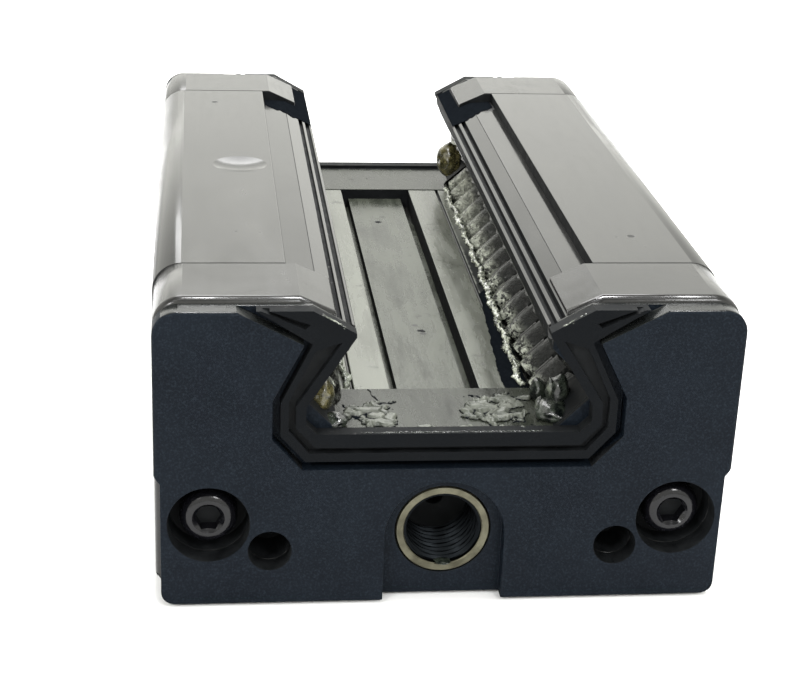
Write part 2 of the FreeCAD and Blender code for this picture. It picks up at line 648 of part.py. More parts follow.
def build_turn_guide(side, name, end):
    """Half spool round which both rows of one leg turn back, fixed inside the cap."""
    body = new_body(f"turn_guide_{name}_{end}")
    on_right = side > 0 if end == "front" else side < 0
    profile = new_sketch(body, offset="turn_offset", shift="turn_x" if on_right else "-turn_x")
    outline(profile, to_axis(SPOOL))
    revolve(body, profile, "Revolution")
    spare = new_sketch(body)
    outline(spare, [("half_width", "0"), ("half_width", "over_top"), ("-half_width", "over_top"),
                    ("-half_width", "0")])
    pocket(body, spare)
    face_outwards(body, end)
    return body


def circuit_points(side, radius, shift_up):
    """Rolling stations of one leg in plan: label -> list of (x, y, turn angle about Z)."""
    centre_x, half = side * size_of("turn_x"), size_of("row_half")
    pitch = size_of("pitch")
    stations = {"loaded": [], "return": [], "back": [], "front": []}
    for i in range(14):
        y = -half + pitch * (i + shift_up)
        stations["loaded"].append((centre_x - side * radius, y, 0.0))
        stations["return"].append((centre_x + side * radius, -y, 180.0))
    for i in range(3):
        angle = 180.0 * (i + shift_up) / 3
        swing = math.radians(angle)
        dx, dy = -side * radius * math.cos(swing), radius * math.sin(swing)
        stations["back"].append((centre_x + dx, half + dy, -side * angle))
        stations["front"].append((centre_x - dx, -half - dy, 180.0 - side * angle))
    return stations


def build_circuit(side, name, level, height):
    """All rollers and spacers of one endless row, in the four runs that move together."""
    rise = 1 if level == "low" else -1
    lie = V(side, 0, rise).normalize()
    to_rail = V(-side, 0, rise).normalize()
    shift = size_of("spacer_shift")
    spacer_radius = size_of("turn_r") + shift * abs(to_rail.x)
    kinds = (("rollers", "roller_r", "roller_len", size_of("turn_r"), 0.5, 0.0),
             ("spacers", "spacer_r", "spacer_len", spacer_radius, 1.0, shift * to_rail.z))
    runs = []
    for kind, radius, length, orbit, start, lift in kinds:
        for run, places in circuit_points(side, orbit, start).items():
            members = []
            for x, y, angle in places:
                axis = FreeCAD.Rotation(Z_AXIS, angle).multVec(lie)
                members.append(cylinder(radius, length, V(x, y, size_of(height) + lift), axis))
            runs.append(group(f"{kind}_{name}_{level}_{run}", members))
    return runs


def export(parts):
    for thing in parts:
        state = " ".join(thing.State)
        shape = thing.Shape
        if "Invalid" in state or "Error" in state or shape.isNull() or not shape.isValid():
            raise RuntimeError(f"{thing.Label} did not build: {state}")
        shape.exportStep(f"parts/{thing.Label}.step")
        print(f"{thing.Label:28s} {len(shape.Solids):3d} solids {shape.Volume:10.1f} mm3")


fill_sheet()
parts = [build_body()]
for end in ("front", "back"):
    parts += [build_cap(end), build_plate(end), build_end_seal(end),
              build_port_insert(end), build_screws(end)]
for side, name in ((1, "right"), (-1, "left")):
    parts += build_side_parts(side, name)
    for end in ("front", "back"):
        parts.append(build_turn_guide(side, name, end))
    for level, height in (("low", "low_z"), ("high", "high_z")):
        parts.append(build_tube(side, name, level, height))
        parts += build_circuit(side, name, level, height)
doc.recompute()
export(parts)
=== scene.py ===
import json
import math

import bmesh
import bpy
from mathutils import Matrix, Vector, noise


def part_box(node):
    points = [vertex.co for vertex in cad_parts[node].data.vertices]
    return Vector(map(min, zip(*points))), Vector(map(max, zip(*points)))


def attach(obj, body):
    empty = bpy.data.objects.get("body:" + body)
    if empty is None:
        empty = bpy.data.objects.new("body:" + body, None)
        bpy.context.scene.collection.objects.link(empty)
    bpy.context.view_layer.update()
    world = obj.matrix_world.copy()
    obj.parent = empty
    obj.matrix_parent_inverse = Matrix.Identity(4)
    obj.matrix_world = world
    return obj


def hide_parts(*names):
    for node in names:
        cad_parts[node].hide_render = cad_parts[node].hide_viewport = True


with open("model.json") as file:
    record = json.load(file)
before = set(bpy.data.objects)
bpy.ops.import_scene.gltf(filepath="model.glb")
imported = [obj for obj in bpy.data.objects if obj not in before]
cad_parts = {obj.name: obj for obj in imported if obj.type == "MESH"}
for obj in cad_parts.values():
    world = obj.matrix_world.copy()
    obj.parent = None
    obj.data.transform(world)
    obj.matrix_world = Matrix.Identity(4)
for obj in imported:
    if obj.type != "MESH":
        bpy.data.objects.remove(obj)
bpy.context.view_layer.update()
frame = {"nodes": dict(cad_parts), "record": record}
NODES = frame["nodes"]
MM = 0.001
SIDES = (("right", 1), ("left", -1))
ENDS = ("front", "back")
X, Y = 0, 1

# Places in the CAD, in millimetres from the middle of the mounting face
LEG_TOP = 39.0
PANEL = 20.7          # top of the sunk panel between the floor strips
CAP_FLOOR = 22.3      # channel floor of an end cap
CAP_SEAM = 41.0       # along Y, where the saddle meets an end cap
SEAL_SEAM = 15.35     # along X, where a side seal meets its leg strip
LEG_STEP = 18.9       # along X, where a leg strip meets the saddle
SEAL_FACE = 54.9      # along Y, just inside the outer faces of the end seals
LANE = 12.1           # along X, where the ends of the lower loaded rollers begin
LANE_FRONT = -47.5    # along Y, beyond which the rollers have turned away from the channel
HOLES = (             # of a cap, right half: centre across and up, and radius to paint
    ((0.0, 9.1), 5.95), ((28.4, 11.15), 4.95), ((21.1, 7.5), 2.65))

# Colours that several materials share
BLACK = (0.006, 0.006, 0.006)
GRIME_AND_SHADE = (0.003, 0.003, 0.0035)


# ---------------------------------------------------------------- node helpers

class Shader:
    """A material under construction: short calls that add and link nodes."""

    def __init__(self, name):
        self.material = bpy.data.materials.new(name)
        self.material.use_nodes = True
        self.tree = self.material.node_tree
        self.surface = self.tree.nodes["Principled BSDF"]
        self.place = self.add("ShaderNodeTexCoord").outputs["Object"]

    def add(self, kind, **settings):
        node = self.tree.nodes.new(kind)
        for key, setting in settings.items():
            setattr(node, key, setting)
        return node

    def link(self, source, target):
        self.tree.links.new(source, target)

    def fill(self, socket, source):
        """Set a socket to a number, or link it when the source is another node's output."""
        if hasattr(source, "is_output"):
            self.link(source, socket)
        else:
            socket.default_value = source

    def stretched(self, scale):
        """Object coordinates scaled along X, Y and Z."""
        mapping = self.add("ShaderNodeMapping")
        mapping.inputs["Scale"].default_value = scale
        self.link(self.place, mapping.inputs["Vector"])
        return mapping.outputs["Vector"]

    def noise(self, size, detail=4.0, rough=0.55, vector=None, seed=0.0, distortion=0.0):
        """Noise whose features are about this many millimetres across."""
        node = self.add("ShaderNodeTexNoise", noise_dimensions="4D")
        self.link(vector or self.place, node.inputs["Vector"])
        node.inputs["W"].default_value = seed
        node.inputs["Scale"].default_value = 1.0 / (size * MM)
        node.inputs["Detail"].default_value = detail
        node.inputs["Roughness"].default_value = rough
        node.inputs["Distortion"].default_value = distortion
        return node.outputs["Fac"]

    def cells(self, size, vector=None, seed=0.0):
        """Distance to the nearest of points scattered about this many millimetres apart."""
        node = self.add("ShaderNodeTexVoronoi", voronoi_dimensions="4D", feature="F1")
        self.link(vector or self.place, node.inputs["Vector"])
        node.inputs["W"].default_value = seed
        node.inputs["Scale"].default_value = 1.0 / (size * MM)
        return node.outputs["Distance"]

    def remap(self, source, low, high, to_low=0.0, to_high=1.0):
        """Clamped linear change of range."""
        node = self.add("ShaderNodeMapRange")
        self.link(source, node.inputs["Value"])
        for key, number in (("From Min", low), ("From Max", high),
                            ("To Min", to_low), ("To Max", to_high)):
            node.inputs[key].default_value = number
        return node.outputs["Result"]

    def math(self, operation, first, second=0.0):
        node = self.add("ShaderNodeMath", operation=operation)
        self.fill(node.inputs[0], first)
        self.fill(node.inputs[1], second)
        return node.outputs[0]

    def blend(self, factor, first, second):
        """Mix of two colours."""
        node = self.add("ShaderNodeMix", data_type="RGBA")
        self.fill(node.inputs["Factor"], factor)
        for socket, source in ((node.inputs["A"], first), (node.inputs["B"], second)):
            self.fill(socket, (*source, 1.0) if isinstance(source, tuple) else source)
        return node.outputs["Result"]

    def axes(self):
        """Sockets with the X, Y and Z of the surface point."""
        node = self.add("ShaderNodeSeparateXYZ")
        self.link(self.place, node.inputs[0])
        return node.outputs

    def seam(self, axis, distance, width):
        """1 in a thin line on both sides of the planes this many millimetres from the middle."""
        off = self.math("SUBTRACT", self.math("ABSOLUTE", self.axes()[axis]), distance * MM)
        return self.remap(self.math("ABSOLUTE", off), width * MM * 0.5, width * MM, 1.0, 0.0)

    def spot(self, centre, radius):
        """1 round a point given in millimetres, fading to 0 at the radius."""
        node = self.add("ShaderNodeVectorMath", operation="DISTANCE")
        self.link(self.place, node.inputs[0])
        node.inputs[1].default_value = [c * MM for c in centre]
        return self.remap(node.outputs["Value"], radius * MM * 0.6, radius * MM, 1.0, 0.0)

    def bump(self, height, depth, below=None):
        """Bump of this many millimetres, on top of an earlier one."""
        node = self.add("ShaderNodeBump")
        node.inputs["Strength"].default_value = 1.0
        node.inputs["Distance"].default_value = depth * MM
        self.link(height, node.inputs["Height"])
        if below:
            self.link(below, node.inputs["Normal"])
        return node.outputs["Normal"]

    def finish(self, colour, roughness, normal=None, **constants):
        """Connect the surface; the constants are socket names with _ for each space."""
        self.fill(self.surface.inputs["Base Color"],
                  (*colour, 1.0) if isinstance(colour, tuple) else colour)
        self.fill(self.surface.inputs["Roughness"], roughness)
        if normal:
            self.link(normal, self.surface.inputs["Normal"])
        for key, number in constants.items():
            self.surface.inputs[key.replace("_", " ")].default_value = number
        return self.material


# ---------------------------------------------------------------- materials

GLOSS = {"Specular_IOR_Level": 0.29, "Coat_Weight": 0.14, "Coat_Roughness": 0.05}


def oiled_black(name, seed, dark, light, rough, grain_size, stretch=(1.0, 0.35, 1.0), seams=()):
    """Black surface under a film of oil that was wiped mostly along the travel."""
    s = Shader(name)
    smear = s.noise(9.0, 5.0, 0.6, s.stretched(stretch), seed=seed, distortion=0.6)
    wipe = s.noise(1.1, 3.0, 0.6, s.stretched((1.0, 0.12, 1.0)), seed=seed + 0.3)
    grain = s.noise(grain_size, 2.0, 0.5, seed=seed)
    beads = s.remap(s.cells(2.3, seed=seed), 0.04, 0.10, 1.0, 0.0)
    colour = s.blend(s.remap(smear, 0.35, 0.7), dark, light)
    film = s.math("ADD", s.math("MULTIPLY", smear, 0.7), s.math("MULTIPLY", wipe, 0.3))
    roughness = s.remap(film, 0.36, 0.64, rough[0], rough[1])
    normal = s.bump(grain, 0.003, s.bump(smear, 0.03))
    normal = s.bump(beads, 0.012, s.bump(wipe, 0.006, normal))
    dirt = None
    for axis, distance, width in seams:
        line = s.seam(axis, distance, width)
        dirt = s.math("MAXIMUM", dirt, line) if dirt else line
    if dirt:
        colour = s.blend(dirt, colour, (0.002, 0.002, 0.002))
        roughness = s.math("ADD", roughness, s.math("MULTIPLY", dirt, 0.6))
    return s, colour, roughness, normal


def black_steel():
    """Saddle: black coated steel, with small pits and short random nicks on top."""
    s, colour, rough, normal = oiled_black(
        "black_steel", 1.0, BLACK, (0.017, 0.017, 0.015), (0.14, 0.28), 0.25,
        seams=((Y, CAP_SEAM, 0.11),))
    pits = s.remap(s.cells(9.0, seed=4.4), 0.028, 0.040, 1.0, 0.0)
    dashes = s.remap(s.cells(1.0, vector=s.stretched((0.55, 1.9, 1.0)), seed=2.0), 0.10, 0.16,
                     1.0, 0.0)
    marked_area = s.math("MAXIMUM", s.spot((-23.6, -27.0, LEG_TOP), 4.2),
                  s.spot((25.5, -33.0, LEG_TOP), 3.0))
    marks = s.math("MAXIMUM", pits, s.math("MULTIPLY", dashes, marked_area))
    for centre in ((-26.7, 33.7, LEG_TOP), (26.0, -31.0, LEG_TOP)):
        marks = s.math("MAXIMUM", marks, s.spot(centre, 0.6))
    colour = s.blend(marks, colour, (0.004, 0.004, 0.004))
    rough = s.math("ADD", rough, s.math("MULTIPLY", marks, 0.4))
    normal = s.bump(s.math("SUBTRACT", 1.0, marks), 0.05, normal)
    return s.finish(colour, rough, normal, **GLOSS)


def side_black():
    """Outer sides of the saddle and the caps: the same black, handled dry instead of oiled."""
    s, colour, rough, normal = oiled_black(
        "side_black", 71.0, (0.004, 0.004, 0.0045), (0.010, 0.010, 0.010), (0.24, 0.42), 0.3)
    return s.finish(colour, rough, normal, Specular_IOR_Level=0.15)


def shade_matt():
    """Painted shade on unpolished, hidden and recessed faces: matt and black, with a few oily
    glints.
    """
    s = Shader("shade_matt")
    cloud = s.noise(2.0, 5.0, 0.6, seed=31.0)
    wet = s.remap(s.noise(0.9, 4.0, 0.7, seed=35.0), 0.62, 0.70)
    colour = s.blend(s.remap(cloud, 0.35, 0.7), (0.002, 0.0025, 0.003), (0.008, 0.009, 0.010))
    rough = s.math("SUBTRACT", s.remap(cloud, 0.3, 0.7, 0.55, 0.8), s.math("MULTIPLY", wet, 0.4))
    return s.finish(colour, rough, s.bump(cloud, 0.05), Specular_IOR_Level=0.12)


def deep_shade_black():
    """Painted shade for deep cracks and gaps: near-black, sending no light back."""
    s = Shader("deep_shade_black")
    cloud = s.noise(0.8, 3.0, 0.6, seed=37.0)
    colour = s.blend(cloud, (0.002, 0.0026, 0.0036), (0.007, 0.0085, 0.0105))
    return s.finish(colour, 1.0, Specular_IOR_Level=0.0)


def black_nylon():
    """End caps: moulded nylon under the same film of oil, smeared evenly all ways."""
    s, colour, rough, normal = oiled_black(
        "black_nylon", 2.0, BLACK, (0.014, 0.014, 0.013), (0.14, 0.30), 0.35,
        stretch=(1.0, 1.0, 1.0), seams=((Y, CAP_SEAM, 0.11),))
    return s.finish(colour, rough, normal, **GLOSS)


def coated_plate():
    """Cover plates: grained black coating with fine dust specks and clouds of handling."""
    s = Shader("coated_plate")
    cloud = s.noise(7.0, 5.0, 0.6, seed=3.0)
    mottle = s.noise(0.55, 4.0, 0.7, seed=3.0)
    dust = s.remap(s.cells(1.3, seed=8.0), 0.03, 0.06, 1.0, 0.0)
    lint = s.remap(s.cells(5.0, seed=5.0), 0.016, 0.024, 1.0, 0.0)
    base = s.blend(s.remap(cloud, 0.3, 0.7), (0.0022, 0.0036, 0.0060), (0.0042, 0.0064, 0.0098))
    base = s.blend(s.math("MULTIPLY", dust, 0.10), base, (0.12, 0.13, 0.15))
    base = s.blend(s.math("MULTIPLY", lint, 0.7), base, (0.25, 0.27, 0.30))
    base = s.blend(s.remap(s.noise(0.28, 3.0, 0.7, seed=33.0), 0.48, 0.72, 0.0, 0.5), base,
                   (0.016, 0.022, 0.030))
    rough = s.remap(s.math("ADD", cloud, mottle), 0.7, 1.3, 0.38, 0.58)
    normal = s.bump(mottle, 0.03, s.bump(cloud, 0.05))
    return s.finish(base, rough, normal, Specular_IOR_Level=0.06)


def plate_edge():
    """Top edges of the cover plates and end seals: wiped over with oil together with the caps."""
    s = Shader("plate_edge")
    rub = s.noise(2.5, 4.0, 0.6, seed=61.0)
    colour = s.blend(s.remap(rub, 0.35, 0.7), (0.006, 0.007, 0.007), (0.018, 0.019, 0.018))
    rough = s.remap(rub, 0.3, 0.7, 0.20, 0.34)
    return s.finish(colour, rough, s.bump(rub, 0.03), Specular_IOR_Level=0.25)


def seal_rubber():
    """End seals: black rubber, mostly matt, with wet patches and a few dust specks."""
    s = Shader("seal_rubber")
    smear = s.noise(3.0, 4.0, 0.6, seed=5.0, distortion=0.5)
    grain = s.noise(0.4, 3.0, 0.6, seed=5.0)
    specks = s.remap(s.cells(1.4, seed=15.0), 0.04, 0.07, 1.0, 0.0)
    wet = s.remap(s.noise(4.0, 3.0, 0.6, seed=25.0), 0.52, 0.64)
    colour = s.blend(smear, (0.0008, 0.0012, 0.0018), (0.0026, 0.0034, 0.0044))
    colour = s.blend(s.math("MULTIPLY", specks, 0.25), colour, (0.20, 0.20, 0.19))
    rough = s.remap(s.math("SUBTRACT", smear, s.math("MULTIPLY", wet, 0.4)), 0.1, 0.6, 0.2, 0.55)
    normal = s.bump(grain, 0.02, s.bump(smear, 0.12))
    return s.finish(colour, rough, normal, Specular_IOR_Level=0.06)


def grey_film(name, seed, thin, thick, gloss, pits=(), shaded_edge=False):
    """Dried grey-green grease wiped thin over black, optionally with painted shade along its
    right-hand edge.
    """
    s = Shader(name)
    cloud = s.noise(6.0, 5.0, 0.6, s.stretched((1.0, 0.4, 1.0)), seed=seed, distortion=0.8)
    streak = s.noise(1.4, 4.0, 0.65, s.stretched((1.0, 0.07, 1.0)), seed=seed + 1.0)
    crumb = s.noise(0.5, 4.0, 0.7, seed=seed + 2.0)
    cover = s.remap(s.math("ADD", s.math("MULTIPLY", cloud, 0.6), s.math("MULTIPLY", streak, 0.4)),
                    0.36, 0.58)
    smudge = s.remap(s.noise(3.0, 5.0, 0.7, seed=seed + 3.0, distortion=1.0), 0.60, 0.70)
    colour = s.blend(cover, thin, thick)
    colour = s.blend(s.math("MULTIPLY", smudge, 0.7), colour, (0.02, 0.02, 0.018))
    # painted shade in small pits
    for centre, radius in pits:
        colour = s.blend(s.spot(centre, radius), colour, (0.003, 0.003, 0.003))
    rough = s.remap(s.math("ADD", cover, smudge), 0.0, 1.4, 0.14, 0.42)
    # painted shade along the right-hand edge, beside the rollers, towards the front
    if shaded_edge:
        x, y = s.axes()[:2]
        ragged = s.math("MULTIPLY", s.noise(1.2, 4.0, 0.7, seed=seed + 4.0), 1.2 * MM)
        outer = s.remap(s.math("ADD", x, ragged), 11.25 * MM, 11.55 * MM)
        marked_area = s.math("MULTIPLY", outer, s.remap(y, 26.0 * MM, 8.0 * MM))
        colour = s.blend(marked_area, colour, (0.004, 0.005, 0.005))
        rough = s.math("ADD", rough, s.math("MULTIPLY", marked_area, 0.8))
    normal = s.bump(crumb, 0.02, s.bump(streak, 0.02, s.bump(cloud, 0.08)))
    return s.finish(colour, rough, normal, Specular_IOR_Level=gloss)


def crumbs(name, seed, base):
    """Broken grey grease, with painted shade in its cracks that deepens towards the floor under it.
    """
    s = Shader(name)
    cloud = s.noise(1.5, 5.0, 0.65, seed=seed)
    fine = s.noise(0.3, 4.0, 0.7, seed=seed)
    # painted shade: the lowest parts of the crumbs go near-black
    lift = s.remap(s.axes()[2], (base + 0.06) * MM, (base + 0.22) * MM)
    tone = s.blend(s.remap(cloud, 0.35, 0.65), (0.040, 0.044, 0.036), (0.110, 0.116, 0.098))
    colour = s.blend(lift, (0.006, 0.007, 0.006), tone)
    rough = s.math("SUBTRACT", s.remap(cloud, 0.3, 0.7, 0.75, 1.0), s.math("MULTIPLY", lift, 0.5))
    return s.finish(colour, rough, s.bump(fine, 0.03), Specular_IOR_Level=0.30)


def grease(name, seed, deep, pale, clear=0.0, wet=0.5, patch=1.2):
    """Wet grease: glossy, uneven in colour, partly see-through where clear is above zero."""
    s = Shader(name)
    cloud = s.noise(patch, 4.0, 0.6, seed=seed)
    fine = s.noise(0.35, 3.0, 0.6, seed=seed)
    colour = s.blend(s.remap(cloud, 0.42, 0.58), deep, pale)
    normal = s.bump(fine, 0.05)
    return s.finish(colour, s.remap(fine, 0.3, 0.7, 0.12, 0.35), normal, Coat_Weight=wet,
                    Coat_Roughness=0.06, Transmission_Weight=clear)


def brass():
    """Port inserts: stained brass on the turned face, with painted shade inside the thread."""
    s = Shader("brass")
    turned = s.noise(0.5, 3.0, 0.6, seed=6.0)
    stain = s.noise(2.5, 4.0, 0.6, seed=6.0)
    tone = s.blend(s.remap(stain, 0.35, 0.7), (0.118, 0.113, 0.081), (0.058, 0.055, 0.039))
    outward = s.math("ABSOLUTE", s.axes()[Y])
    # painted shade: near-black deeper than the turned face
    inside = s.remap(outward, 53.30 * MM, 53.55 * MM, 1.0, 0.0)
    colour = s.blend(inside, tone, (0.006, 0.007, 0.008))
    rough = s.remap(stain, 0.3, 0.7, 0.30, 0.5)
    return s.finish(colour, rough, s.bump(turned, 0.01), Metallic=1.0)


def screw_steel():
    """End screws: oxide-black steel with a little dust."""
    s = Shader("screw_steel")
    dust = s.remap(s.noise(0.35, 3.0, 0.7, seed=7.0), 0.55, 0.75)
    colour = s.blend(s.math("MULTIPLY", dust, 0.15), (0.003, 0.003, 0.004), (0.04, 0.04, 0.045))
    rough = s.remap(dust, 0.0, 1.0, 0.14, 0.30)
    return s.finish(colour, rough, s.bump(dust, 0.01), Specular_IOR_Level=0.30)


def roller_steel():
    """Rollers in used grease: painted glints at the lower ends, painted lip shade at the tops,
    darker at the front.
    """
    s = Shader("roller_steel")
    x, y, z = s.axes()
    along = s.math("ADD", s.math("ABSOLUTE", x), z)
    # painted glints: pale specks at the lower ends of the rollers
    speck = s.remap(s.noise(0.75, 3.0, 0.7, seed=9.0, distortion=0.6), 0.45, 0.52)
    low = s.remap(along, 36.4 * MM, 38.2 * MM, 1.0, 0.0)
    wave = s.noise(2.2, 3.0, 0.6, seed=29.0)
    # lighter towards the rear, darker towards the front
    rear = s.remap(y, -2.0 * MM, 34.0 * MM)
    front = s.remap(y, -14.0 * MM, -38.0 * MM, 0.0, 2.2 * MM)
    # painted shade of the seal lips over the tops of the rollers, reaching lower towards the front
    ragged = s.math("SUBTRACT", s.math("MULTIPLY", wave, 5.0 * MM),
                    s.math("SUBTRACT", s.math("MULTIPLY", rear, 1.8 * MM), front))
    high = s.remap(s.math("ADD", along, ragged), 39.6 * MM, 41.8 * MM)
    tint = s.remap(s.noise(1.6, 4.0, 0.65, seed=19.0, distortion=0.8), 0.38, 0.62)
    pale = s.blend(rear, (0.015, 0.017, 0.014), (0.520, 0.535, 0.445))
    deep = s.blend(rear, (0.004, 0.005, 0.004), (0.100, 0.107, 0.085))
    dirty = s.blend(tint, deep, pale)
    colour = s.blend(s.math("MULTIPLY", low, speck), dirty, (0.42, 0.44, 0.37))
    colour = s.blend(s.math("MULTIPLY", high, 0.92), colour, (0.006, 0.007, 0.006))
    rough = s.math("ADD", s.remap(tint, 0.0, 1.0, 0.08, 0.24), s.math("MULTIPLY", high, 0.3))
    normal = s.bump(speck, 0.14, s.bump(tint, 0.35))
    return s.finish(colour, rough, normal, Metallic=0.3, Specular_IOR_Level=0.35,
                    Coat_Weight=0.25, Coat_Roughness=0.04)


def dark_plastic(name, seed):
    """Strips, guides and spacers: smooth oily plastic, with black grime and painted shade at the
    back end.
    """
    s, colour, rough, normal = oiled_black(
        name, seed, BLACK, (0.018, 0.018, 0.017), (0.06, 0.18), 0.3,
        seams=((X, SEAL_SEAM, 0.07), (X, LEG_STEP, 0.09)))
    ragged = s.math("MULTIPLY", s.noise(2.0, 4.0, 0.7, seed=18.0), 6.0 * MM)
    # grime and painted shade where the back cap stands over the strip
    grime_and_shade = s.remap(s.math("ADD", s.axes()[Y], ragged), 38.0 * MM, 40.5 * MM)
    colour = s.blend(grime_and_shade, colour, GRIME_AND_SHADE)
    rough = s.math("ADD", rough, s.math("MULTIPLY", grime_and_shade, 0.6))
    return s.finish(colour, rough, normal, Specular_IOR_Level=0.31, Coat_Weight=0.10,
                    Coat_Roughness=0.04)


def side_seal_rubber():
    """Side seals: rubber polished by the oil, with black grime and painted shade towards the back
    end.
    """
    s, colour, rough, normal = oiled_black(
        "side_seal_rubber", 14.0, BLACK, (0.017, 0.017, 0.016), (0.06, 0.20), 0.3,
        seams=((X, SEAL_SEAM, 0.07),))
    x, y = s.axes()[:2]
    ragged = s.math("ADD", y, s.math("MULTIPLY", s.noise(2.0, 4.0, 0.7, seed=17.0), 10.0 * MM))
    inward = s.math("MULTIPLY", s.math("ABSOLUTE", x), -3.0)
    reach = s.math("ADD", ragged, s.math("ADD", inward, 36.0 * MM))
    # grime and painted shade towards the back cap
    grime_and_shade = s.remap(reach, 37.0 * MM, 41.0 * MM)
    colour = s.blend(grime_and_shade, colour, GRIME_AND_SHADE)
    rough = s.math("ADD", rough, s.math("MULTIPLY", grime_and_shade, 0.55))
    return s.finish(colour, rough, normal, Specular_IOR_Level=0.37)


def paint_frame():
    """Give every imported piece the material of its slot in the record."""
    made = {
        "black_steel": black_steel(), "black_nylon": black_nylon(),
        "coated_plate": coated_plate(), "seal_rubber": seal_rubber(), "brass": brass(),
        "screw_steel": screw_steel(), "roller_steel": roller_steel(),
        "strip_plastic": dark_plastic("strip_plastic", 11.0),
        "guide_plastic": dark_plastic("guide_plastic", 12.0),
        "spacer_plastic": dark_plastic("spacer_plastic", 13.0),
    }
    for part in frame["record"]["subparts"]:
        mesh = NODES[part["node"]].data
        mesh.materials.clear()
        mesh.materials.append(made[part["material_slot"]])
    polished = side_seal_rubber()
    for side, _ in SIDES:
        NODES["side_seal_" + side].data.materials[0] = polished
    return made


def repaint(node, material, chosen):
    """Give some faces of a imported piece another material."""
    mesh = NODES[node].data
    mesh.materials.append(material)
    extra = len(mesh.materials) - 1
    for face in mesh.polygons:
        if chosen(face.center / MM, face.normal):
            face.material_index = extra


def near(centre, axis, radius):
    """Whether a face centre lies within the radius of an axis that runs along Y."""
    return math.hypot(abs(centre.x) - axis[0], centre.z - axis[1]) < radius


def flat_top(normal):
    """Whether a face looks straight up."""
    return normal.z > 0.9


def outer_side(centre, normal):
    """Whether a face belongs to the flat outer side of the saddle or of a cap."""
    return abs(normal.x) > 0.97 and abs(centre.x) > 30.0


def shade_and_film_places(shade):
    """Unpolished faces and the insides of holes in painted shade, and the greasy floor of the
    channel.
    """
    film = grey_film("floor_film", 41.0, (0.015, 0.017, 0.013), (0.057, 0.062, 0.049), 0.21,
                     pits=(((-0.5, 28.7, PANEL), 0.75), ((0.4, -16.0, PANEL), 0.5),
                           ((1.2, -19.0, PANEL), 0.6)))
    strip_films = {
        "right": grey_film("strip_film_right", 42.0, (0.051, 0.054, 0.045), (0.088, 0.093, 0.077),
                           0.28, shaded_edge=True),
        "left": grey_film("strip_film_left", 44.0, (0.067, 0.071, 0.059), (0.117, 0.123, 0.102),
                          0.28)}
    cap_film = grey_film("cap_film", 43.0, (0.008, 0.009, 0.007), (0.029, 0.032, 0.025), 0.16)
    edge = plate_edge()
    dry = side_black()
    # painted shade on the inner walls of the channel
    repaint("carriage_body", shade, lambda c, n: abs(n.x) > 0.9 and abs(c.x) < 19.0)
    repaint("carriage_body", dry, outer_side)
    repaint("carriage_body", film, lambda c, n: flat_top(n) and abs(c.x) < 10.0)
    for side, _ in SIDES:
        strip, seal = "floor_strip_" + side, "side_seal_" + side
        # painted shade on the sides of the floor strip
        repaint(strip, shade, lambda c, n: abs(n.x) > 0.9)
        repaint(strip, strip_films[side], lambda c, n: flat_top(n) and c.z > 22.0)
        # painted shade in the two grooves on top of the seal, then on its inner face
        repaint(seal, shade, lambda c, n: c.z > 34.9 and (
            11.7 < abs(c.x) < 12.45 or 12.8 < abs(c.x) < 13.5))
        repaint(seal, shade, lambda c, n: c.z < 35.4 and abs(c.x) < 11.8 and abs(n.x) > 0.5)
    for end in ENDS:
        cap, plate, seal = "end_cap_" + end, "cover_plate_" + end, "end_seal_" + end
        repaint(cap, dry, outer_side)
        repaint(cap, cap_film, lambda c, n: flat_top(n) and 22.0 < c.z < 23.0)
        # painted shade on the plate's faces round the channel
        repaint(plate, shade,
                lambda c, n: abs(c.x) < 19.0 and 19.0 < c.z < 35.8 and abs(n.y) < 0.5)
        for node in (plate, seal):
            repaint(node, edge, lambda c, n: c.z > 35.0 and n.z > 0.8)
        # painted shade on the cap's inner end and channel faces, in the holes, inside the seal and
        # deep in the screws
        repaint(cap, shade, lambda c, n: abs(n.y) > 0.9 and abs(c.y) < 41.1)
        repaint(cap, shade, lambda c, n: abs(c.x) < 18.0 and 22.4 < c.z < 36.0 and abs(n.y) < 0.5)
        for axis, radius in HOLES:
            repaint(cap, shade, lambda c, n: near(c, axis, radius) and abs(n.x) + abs(n.z) > 0.5)
            repaint(cap, shade, lambda c, n: near(c, axis, radius) and abs(c.y) < 52.5)
            repaint(plate, shade, lambda c, n: near(c, axis, radius) and abs(n.y) < 0.5)
        repaint(seal, shade, lambda c, n: abs(c.y) < SEAL_FACE)
        repaint("end_screws_" + end, shade, lambda c, n: abs(n.y) > 0.9 and abs(c.y) < 53.4)


# ---------------------------------------------------------------- geometry details

def new_piece(name, points, faces, material, smooth=True):
    """Object from points in millimetres, which rides on the carriage."""
    mesh = bpy.data.meshes.new(name)
    mesh.from_pydata([[c * MM for c in p] for p in points], [], faces)
    mesh.materials.append(material)
    if smooth:
        mesh.polygons.foreach_set("use_smooth", [True] * len(mesh.polygons))
    piece = bpy.data.objects.new(name, mesh)
    bpy.context.scene.collection.objects.link(piece)
    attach(piece, "carriage")
    return piece


def soften(node, width):
    """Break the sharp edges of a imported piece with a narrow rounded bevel."""
    piece = NODES[node]
    weld = piece.modifiers.new("weld", "WELD")
    weld.merge_threshold = 1e-6
    bevel = piece.modifiers.new("bevel", "BEVEL")
    bevel.width = width * MM
    bevel.segments = 2
    bevel.limit_method = "ANGLE"
    bevel.angle_limit = math.radians(38)
    bevel.use_clamp_overlap = False
    bevel.harden_normals = False


def soften_edges():
    """Moulded and machined edges: wider on the steel and nylon, finer on the strips."""
    soften("carriage_body", 0.16)
    for end in ENDS:
        soften("end_cap_" + end, 0.16)
        soften("cover_plate_" + end, 0.12)
    for side, _ in SIDES:
        soften("leg_strip_" + side, 0.08)
        soften("side_seal_" + side, 0.08)
        soften("floor_strip_" + side, 0.12)


